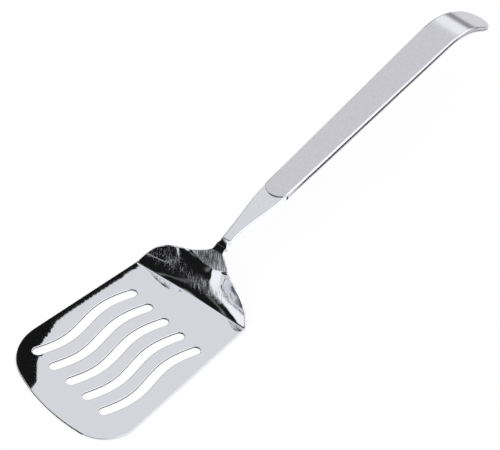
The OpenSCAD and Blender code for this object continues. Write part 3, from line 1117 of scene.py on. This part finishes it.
@dataclass(frozen=True)
class HeelFinish:
    """Hand finish of the heel. Places are millimetres from the fold towards the neck.

    Attributes:
        scoop: Start, end and soft edge of the strokes in the scoop.
        patch: Start, end and soft edge of the ground patch before the neck.
        turn: Direction of the strokes from X, in degrees.
        stroke: Length, width and height of a stroke, in millimetres.
        wander: How far the scoop's edges stray, in millimetres.
        fade: Noise values at which a stroke begins and is full.
        scoop_dull: Roughness beside and in a stroke of the scoop.
        patch_dull: Roughness beside and in a stroke of the patch.
        stroke_gap_shade: Noise values at which the painted shade between the patch's strokes begins and is
            full.
        stroke_gap_shade_share: Brightness of that painted shade, as a share of the metal's.
        relief: Depth of the strokes, in millimetres.
    """

    scoop: tuple[float, float, float] = (4.2, 10.0, 2.4)
    patch: tuple[float, float, float] = (15.6, 22.6, 0.35)
    turn: float = 42.0
    stroke: tuple[float, float, float] = (8.0, 0.7, 3.0)
    wander: float = 3.0
    fade: tuple[float, float] = (0.46, 0.72)
    scoop_dull: tuple[float, float] = (0.12, 0.62)
    patch_dull: tuple[float, float] = (0.4, 0.62)
    stroke_gap_shade: tuple[float, float] = (0.62, 0.4)
    stroke_gap_shade_share: float = 0.35
    relief: float = 0.006


@dataclass
class SteelMaterial:
    """Builds node materials for stainless steel from its finishes."""

    finish: Steel

    def start(self) -> tuple[bpy.types.Material, NodeMaths, bpy.types.NodeSocket]:
        """Empty node material, its number nodes and the object coordinates in millimetres."""
        material = empty_material(self.finish.name)
        tree = material.node_tree
        source = add_node(tree, "TexCoord").outputs["Object"]
        place = add_node(tree, "VectorMath", {0: source, "Scale": 1 / MM}, operation="SCALE").outputs[0]
        return material, NodeMaths(tree), place

    def close(
        self, tree: bpy.types.NodeTree, colour: Value, dull: Value, height: Value, depth: float
    ) -> None:
        """Ends the tree in a metal surface with a fine relief.

        Args:
            tree: Node tree.
            colour: Colour of the metal.
            dull: Roughness.
            height: Relief from 0 to 1.
            depth: Depth of the full relief, in millimetres.
        """
        bump = add_node(tree, "Bump", {"Strength": 1.0, "Distance": depth * MM, "Height": height})
        inputs = {"Base Color": colour, "Metallic": 1.0, "Roughness": dull, "Normal": bump.outputs[0]}
        surface = add_node(tree, "BsdfPrincipled", inputs)
        add_node(tree, "OutputMaterial", {"Surface": surface.outputs[0]})

    def drifting_dullness(self, maths: NodeMaths, place: bpy.types.NodeSocket, scale: float) -> Value:
        """Roughness that drifts from place to place by the finish's mottle."""
        f = self.finish
        drift = maths.noise(place, scale)
        return maths.blend(drift, f.dull * (1 - f.mottle), f.dull * (1 + f.mottle))

    def plain(self) -> bpy.types.Material:
        """Finish that is the same all over: brush lines, soft drift in dullness and fine grain in colour.

        Returns:
            The material.
        """
        material, maths, place = self.start()
        f = self.finish
        streak = maths.noise(maths.stretch(place, (1 / f.stroke, 1 / f.pitch, 1 / f.pitch)), 1.0)
        dull = self.drifting_dullness(maths, place, 0.12)
        base = linear(f.colour)
        colour = maths.tint(streak, dimmed(base, 0.84), dimmed(base, 1.14))
        self.close(maths.tree, colour, dull, streak, f.grain)
        return material

    def heel(self, marks: HeelFinish) -> bpy.types.Material:
        """Mirror polish with two hand-finished areas on the heel.

        From the fold towards the neck: mirror, slanting brush strokes in the scoop, a ground patch that
        ends in straight lines before the neck, and mirror again.

        Args:
            marks: Places and looks of the two areas.

        Returns:
            The material.
        """
        material, maths, place = self.start()
        tree = maths.tree
        along = add_node(tree, "SeparateXYZ", {0: place}).outputs["X"]
        turn = (0.0, 0.0, -math.radians(marks.turn))
        inputs = {"Vector": place, "Rotation": turn}
        turned = add_node(tree, "VectorRotate", inputs, rotation_type="EULER_XYZ")
        slanted = maths.stretch(turned.outputs[0], tuple(1 / size for size in marks.stroke))
        noise = maths.noise(slanted, 1.0, 3.0)
        stray = maths.math("SUBTRACT", maths.noise(place, 0.16), 0.5)
        strayed = maths.math("ADD", along, maths.math("MULTIPLY", stray, marks.wander))
        start, end, soft = marks.scoop
        scoop = maths.window(strayed, LAND + start, LAND + end, soft)
        start, end, soft = marks.patch
        patch = maths.window(along, LAND + start, LAND + end, soft)
        strokes = maths.step(noise, *marks.fade)
        dull = self.drifting_dullness(maths, place, 0.08)
        dull = maths.blend(scoop, dull, maths.blend(strokes, *marks.scoop_dull))
        dull = maths.blend(patch, dull, maths.blend(strokes, *marks.patch_dull))
        depth = maths.math("ADD", scoop, maths.math("MULTIPLY", patch, 2.0))
        relief = maths.math("MULTIPLY", noise, depth)
        # Painted shade: the metal between the ground patch's strokes is darkened in its colour.
        stroke_gap_shade = maths.math("MULTIPLY", patch, maths.step(noise, *marks.stroke_gap_shade))
        base = linear(self.finish.colour)
        colour = maths.tint(stroke_gap_shade, base, dimmed(base, marks.stroke_gap_shade_share))
        self.close(tree, colour, dull, relief, marks.relief)
        return material


# ---------------------------------------------------------------------------
# Studio
# ---------------------------------------------------------------------------


class Effect(Enum):
    """What a zone does to the brightness that is there."""

    ADD = "ADD"
    SCALE = "MULTIPLY"
    COVER = "MAXIMUM"


@dataclass(frozen=True)
class Zone:
    """Part of the surroundings that polished faces reflect.

    Attributes:
        effect: What it does to the brightness that is there.
        strength: Brightness, or the factor for SCALE.
        edges: Soft edges: an axis of the direction, where the zone begins and where it is full.
    """

    effect: Effect
    strength: float
    edges: tuple[tuple[str, float, float], ...]


ROOM = (
    # The handle's side of the room is white. The blade's side stays black, for the dark heel and neck.
    Zone(Effect.ADD, 1.0, (("X", -0.1, -0.03),)),
    # Below the horizon it is black, but for a grey end wall that the hooked end shows as a band.
    Zone(Effect.SCALE, 0.0, (("Z", 0.25, 0.2),)),
    Zone(Effect.ADD, 0.4, (("X", 0.7, 0.8), ("Z", 0.25, 0.2))),
    # Brighter low end wall, for the pale bend of the hook.
    Zone(Effect.SCALE, 1.45, (("Z", 0.18, 0.32), ("Z", 0.69, 0.55), ("X", 0.5, 0.7))),
    # Brighter right wall, for the white line along the handle and the bright edges of the slots.
    Zone(Effect.SCALE, 1.8, (("Y", -0.15, -0.3), ("Z", 0.38, 0.48))),
    # Low light on the right of the blade's side. It brightens the same rounded edges further down.
    Zone(Effect.COVER, 1.6, (("Y", -0.6, -0.68), ("Z", 0.05, 0.15), ("X", -0.7, -0.6))),
    # Dark corner on the left of the end wall, for a slightly darker line on the slots' edges.
    Zone(Effect.SCALE, 0.0, (("Y", 0.6, 0.72), ("X", 0.4, 0.5), ("Z", 0.46, 0.38))),
    # Ceiling over the blade's side, so that the fold's small radius isn't dark against the plate. It also
    # lights the ground patch.
    Zone(Effect.COVER, 1.5, (("Z", 0.85, 0.88), ("X", -0.55, -0.48), ("X", -0.06, -0.12))),
    # Two cards on the left, for the white right flank of the heel.
    Zone(Effect.COVER, 1.3, (("Y", 0.62, 0.68), ("Z", 0.52, 0.46), ("X", 0.45, 0.35))),
    Zone(Effect.COVER, 1.3, (("Y", 0.46, 0.52), ("Z", 0.36, 0.3), ("X", 0.45, 0.35))),
    # Faint strip that picks out the strokes in the scoop and the patch.
    Zone(Effect.ADD, 0.25, (("X", -0.67, -0.57), ("X", -0.49, -0.59), ("Z", 0.52, 0.64), ("Z", 0.76, 0.64))),
    # What the black cloth still gives back.
    Zone(Effect.ADD, 0.012, ()),
)


@dataclass
class Studio:
    """Camera, surroundings, pale floor, flags and key light.

    Attributes:
        azimuth: Turn of the camera round the object, in degrees.
        elevation: Height of the camera, in degrees.
        lens: Focal length, in millimetres.
        sensor: Sensor width, in millimetres.
        window: Width of the view at the object, in metres.
        shift_right: Middle of the view from the fold along the camera's right, in metres.
        shift_up: The same along the camera's up.
        floor_colour: Colour of the floor.
        floor_glow: Brightness that the floor shows the camera and reflections.
        floor_share: Share of that brightness. The rest is lit, so it keeps the object's shadow.
        floor_drop: Depth of the floor below the blade, so that the two never share a plane, in metres.
        flag_glow: Brightness of a black flag.
        card_glow: Brightness of the white card.
        key_power: Power of the key light, in watts.
        key_size: Width of the key light, in metres.
        key_place: Place of the key light, in metres.
    """

    azimuth: float = -48.0
    elevation: float = 43.6
    lens: float = 1400.0
    sensor: float = 36.0
    window: float = 0.2842
    shift_right: float = 0.0338
    shift_up: float = 0.0408
    floor_colour: str = "#f4f4f4"
    floor_glow: float = 1.02
    floor_share: float = 0.85
    floor_drop: float = 0.0003
    flag_glow: float = 0.011
    card_glow: float = 1.7
    key_power: float = 1.2
    key_size: float = 0.8
    key_place: tuple[float, float, float] = (-0.2, -0.4, 1.2)

    def axes(self) -> tuple[Vector, Vector, Vector]:
        """Camera's right, up and back directions."""
        a, e = math.radians(self.azimuth), math.radians(self.elevation)
        right = Vector((math.cos(a), math.sin(a), 0.0))
        back = Vector((math.sin(a) * math.cos(e), -math.cos(a) * math.cos(e), math.sin(e)))
        return right, back.cross(right), back

    def camera(self) -> None:
        """Long lens from far away, so the view is nearly a parallel one."""
        right, up, back = self.axes()
        target = Vector((LAND * MM, 0, 0)) + right * self.shift_right + up * self.shift_up
        distance = self.window * self.lens / self.sensor
        data = bpy.data.cameras.new("camera")
        data.lens = self.lens
        data.sensor_width = self.sensor
        data.clip_start = 0.1
        data.clip_end = distance * 4
        camera = bpy.data.objects.new("camera", data)
        camera.location = target + back * distance
        camera.rotation_mode = "QUATERNION"
        camera.rotation_quaternion = back.to_track_quat("Z", "Y")
        bpy.context.scene.collection.objects.link(camera)
        bpy.context.scene.camera = camera
        bpy.context.scene.view_settings.view_transform = "Standard"

    def world(self) -> None:
        """Surroundings made of zones, seen by reflections only.

        For plain light the room is even, and to the camera it is white.
        """
        world = bpy.data.worlds.new("studio")
        world.use_nodes = True
        tree = world.node_tree
        tree.nodes.clear()
        maths = NodeMaths(tree)
        source = add_node(tree, "TexCoord").outputs["Generated"]
        axis = add_node(tree, "SeparateXYZ", {0: source}).outputs
        shine = 0.0
        for zone in ROOM:
            amount = 1.0
            for name, low, high in zone.edges:
                amount = maths.math("MULTIPLY", amount, maths.step(axis[name], low, high))
            if zone.effect is Effect.SCALE:
                level = maths.blend(amount, 1.0, zone.strength)
            else:
                level = maths.math("MULTIPLY", amount, zone.strength)
            shine = maths.math(zone.effect.value, shine, level)
        light = add_node(tree, "LightPath").outputs
        even = maths.blend(light["Is Glossy Ray"], 1.0, shine)
        strength = maths.blend(light["Is Camera Ray"], even, 1.0)
        background = add_node(tree, "Background", {"Color": linear("#ffffff"), "Strength": strength})
        add_node(tree, "OutputWorld", {"Surface": background.outputs[0]})
        bpy.context.scene.world = world

    def stage_piece(self, name: str, corners: np.ndarray, material: bpy.types.Material) -> bpy.types.Object:
        """Makes one flat stage piece.

        Args:
            name: Name of the piece.
            corners: Corners in order, in metres.
            material: Its material.

        Returns:
            The piece.
        """
        mesh = bpy.data.meshes.new(name)
        mesh.from_pydata(corners.tolist(), [], [tuple(range(len(corners)))])
        mesh.materials.append(material)
        piece = bpy.data.objects.new(name, mesh)
        bpy.context.scene.collection.objects.link(piece)
        return piece

    def floor(self) -> None:
        """Pale floor just below the object, white to the camera and in reflections. It keeps shadow."""
        material = empty_material("pale_floor")
        tree = material.node_tree
        maths = NodeMaths(tree)
        plain = add_node(tree, "BsdfDiffuse", {"Color": linear(self.floor_colour)})
        glow = add_node(tree, "Emission", {"Color": linear("#ffffff"), "Strength": self.floor_glow})
        light = add_node(tree, "LightPath").outputs
        seen = maths.math("MAXIMUM", light["Is Camera Ray"], light["Is Glossy Ray"])
        share = maths.math("MULTIPLY", seen, self.floor_share)
        both = add_node(tree, "MixShader", {0: share, 1: plain.outputs[0], 2: glow.outputs[0]})
        add_node(tree, "OutputMaterial", {"Surface": both.outputs[0]})
        half = 4.0
        square = np.array([[-half, -half], [half, -half], [half, half], [-half, half]])
        self.stage_piece("floor", np.column_stack([square, np.full(4, -self.floor_drop)]), material)

    def glowing(self, name: str, strength: float) -> bpy.types.Material:
        """Material of a card, or of a flag when its strength is close to zero."""
        material = empty_material(name)
        tree = material.node_tree
        glow = add_node(tree, "Emission", {"Color": linear("#ffffff"), "Strength": strength})
        add_node(tree, "OutputMaterial", {"Surface": glow.outputs[0]})
        return material

    def flags(self) -> None:
        """Flags and a card that only reflections see. Their plans are millimetres, X and Y."""
        black = self.glowing("black_flag", self.flag_glow)
        white = self.glowing("white_card", self.card_glow)
        _, _, back = self.axes()
        mirrored = np.array([-back.x, -back.y, back.z])
        # The plate mirrors this one straight up to the camera, as the black front left corner.
        slanting = [[6, 38.6], [-60, 43.6], [-70, 43.3], [-79, 39.2], [-87, 36.8], [-102, 28.4], [-116, 17]]
        corner = np.array([*slanting, [-190, 0], [-190, 190], [6, 190]])
        flat = np.column_stack([corner[:, 0] + LAND, corner[:, 1], np.full(len(corner), SHEET)])
        flags = [self.stage_piece("corner_flag", flat * MM + mirrored * 0.25, black)]
        # Upright ones: right of the grip for its dark side, left of the shank for its thin dark edge.
        upright = (("grip_flag", (108, 245), -34, (33, 56)), ("shank_flag", (60, 112), 45, (30, 30)))
        for name, x, y, top in upright:
            wall = np.array([[x[0], y, 0.5], [x[1], y, 0.5], [x[1], y, top[1]], [x[0], y, top[0]]])
            flags.append(self.stage_piece(name, wall * MM, black))
        # Black sheet under the blade that only reflections see, so that the heel and the slots' edges don't
        # mirror a white floor.
        # In part it is painted shade: it stands in for the floor's shade under the blade.
        near_edge = [[-600, -30], [-100, -30], [-80, -46], [11, -40.5], [44, -37]]
        plan = [[44, 55], [-15, 55], [-40, 90], [-600, 90], *near_edge]
        shade_sheet = np.column_stack([plan, np.full(len(plan), -0.1)])
        flags.append(self.stage_piece("under_blade_shade_flag", shade_sheet * MM, black))
        # White card under the right side of the shank, for the white line along it and the grip's start.
        card = np.array([[52, -70, -0.05], [128, -70, -0.05], [128, -6, -0.05], [52, -6, -0.05]])
        flags.append(self.stage_piece("shank_card", card * MM, white))
        for flag in flags:
            flag.visible_camera = False
            flag.visible_diffuse = False
            flag.visible_shadow = False
            flag.visible_transmission = False

    def lamp(self) -> None:
        """Soft key light from above the camera, for the floor's shadow."""
        data = bpy.data.lights.new("key", "AREA")
        data.energy = self.key_power
        data.size = self.key_size
        lamp = bpy.data.objects.new("key", data)
        lamp.location = self.key_place
        lamp.rotation_mode = "QUATERNION"
        lamp.rotation_quaternion = Vector(self.key_place).to_track_quat("Z", "Y")
        lamp.visible_glossy = False
        bpy.context.scene.collection.objects.link(lamp)

    def build(self) -> None:
        """Sets up the whole studio."""
        self.camera()
        self.world()
        self.floor()
        self.flags()
        self.lamp()


# ---------------------------------------------------------------------------
# The spatula
# ---------------------------------------------------------------------------


def spatula(frame: dict) -> None:
    """Builds every piece with its finish.
    """
    sheet = SteelMaterial(BUFFED_SHEET).heel(HeelFinish())
    bar = SteelMaterial(POLISHED).plain()
    satin = SteelMaterial(SATIN).plain()
    ground = SteelMaterial(GROUND).plain()
    line = HandleLine()
    grip = Grip(line)
    Blade().make(sheet)
    # The neck weld was polished over with the sheet, so it has the sheet's finish.
    NeckWeld(line).make(sheet)
    Shank(line).make(bar)
    grip.cover(Side.TOP, satin, "grip_top_cover")
    grip.cover(Side.BOTTOM, satin, "grip_bottom_cover")
    grip.seam_weld(satin)
    # The spot welds are closed in by the grip, so they keep their CAD mesh.
    welds = frame["nodes"]["tang_spot_welds"]
    welds.data.materials.clear()
    welds.data.materials.append(ground)


def main() -> None:
    """Builds the spatula and the studio round it."""
    logging.basicConfig(level=logging.INFO, format="%(message)s")
    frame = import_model()
    spatula(frame)
    Studio().build()


if __name__ == "__main__":
    main()
